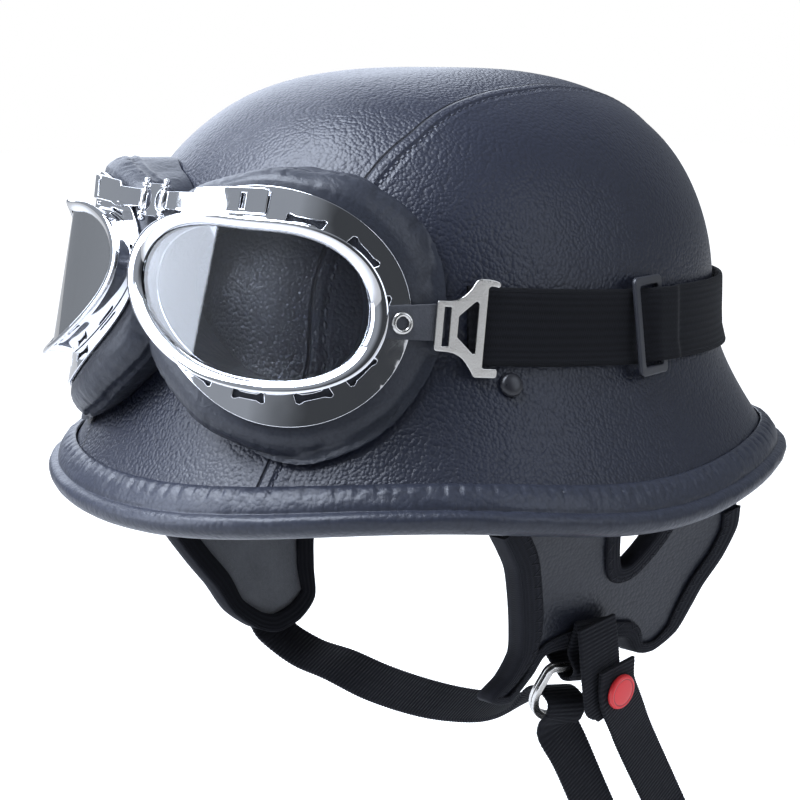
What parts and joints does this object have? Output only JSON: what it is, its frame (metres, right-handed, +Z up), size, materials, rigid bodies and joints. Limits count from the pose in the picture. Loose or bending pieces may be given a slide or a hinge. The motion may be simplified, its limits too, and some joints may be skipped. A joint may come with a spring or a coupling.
{
  "type": "leather-covered riding helmet with goggles",
  "caption": "Flared leather-covered half helmet with padded rim, strapped-on aviator goggles, leather ear flaps and a webbing chin strap with D-rings and snap.",
  "frame": {"origin": "centre of the head opening, level with the mean line of the rim", "axes": "+Z up through the crown, -Y towards the brow, +X towards the wearer's left"},
  "size_m": [0.2636, 0.3086, 0.3208],
  "materials": {
    "shell": "black moulded plastic",
    "leather": "blue-black pebbled leather, semi-gloss",
    "trim": "blue-black leather binding, padded, semi-gloss",
    "pad": "soft smooth leather over foam",
    "chrome": "bright chrome plate",
    "nickel": "satin nickel plate",
    "lens": "clear, glossy, bent sheet",
    "webbing": "black ribbed webbing and tape",
    "plush": "grey short-pile plush",
    "suede": "dark grey suede leather",
    "plastic": "black moulded plastic",
    "red": "coral red enamel"
  },
  "bodies": {
    "root": {"shell": "shell", "cover_centre": "leather", "cover_left": "leather", "cover_right": "leather", "edge_trim": "trim", "side_stud_left": "plastic", "side_stud_right": "plastic", "goggle_cushion": "pad", "eye_plate_left": "chrome", "eye_plate_right": "chrome", "lens_bezel_left": "chrome", "lens_bezel_right": "chrome", "lens_left": "lens", "lens_right": "lens", "bridge_link": "chrome", "bridge_arm_left": "chrome", "bridge_arm_right": "chrome", "hinge_pin_left": "chrome", "hinge_pin_right": "chrome", "side_tab_left": "suede", "side_tab_right": "suede", "tab_rivet_left": "nickel", "tab_rivet_right": "nickel", "strap_hook_left": "nickel", "strap_hook_right": "nickel", "goggle_strap": "webbing", "strap_slider": "plastic", "ear_flap_left": "leather", "ear_flap_right": "leather", "flap_lining_left": "plush", "flap_lining_right": "plush", "flap_tape_left": "webbing", "flap_tape_right": "webbing", "hole_tape_left": "webbing", "hole_tape_right": "webbing", "d_ring_outer": "nickel", "d_ring_inner": "nickel", "d_ring_loop": "webbing", "chin_strap": "webbing", "snap_tab": "webbing", "snap_button": "red"}
  },
  "joints": []
}
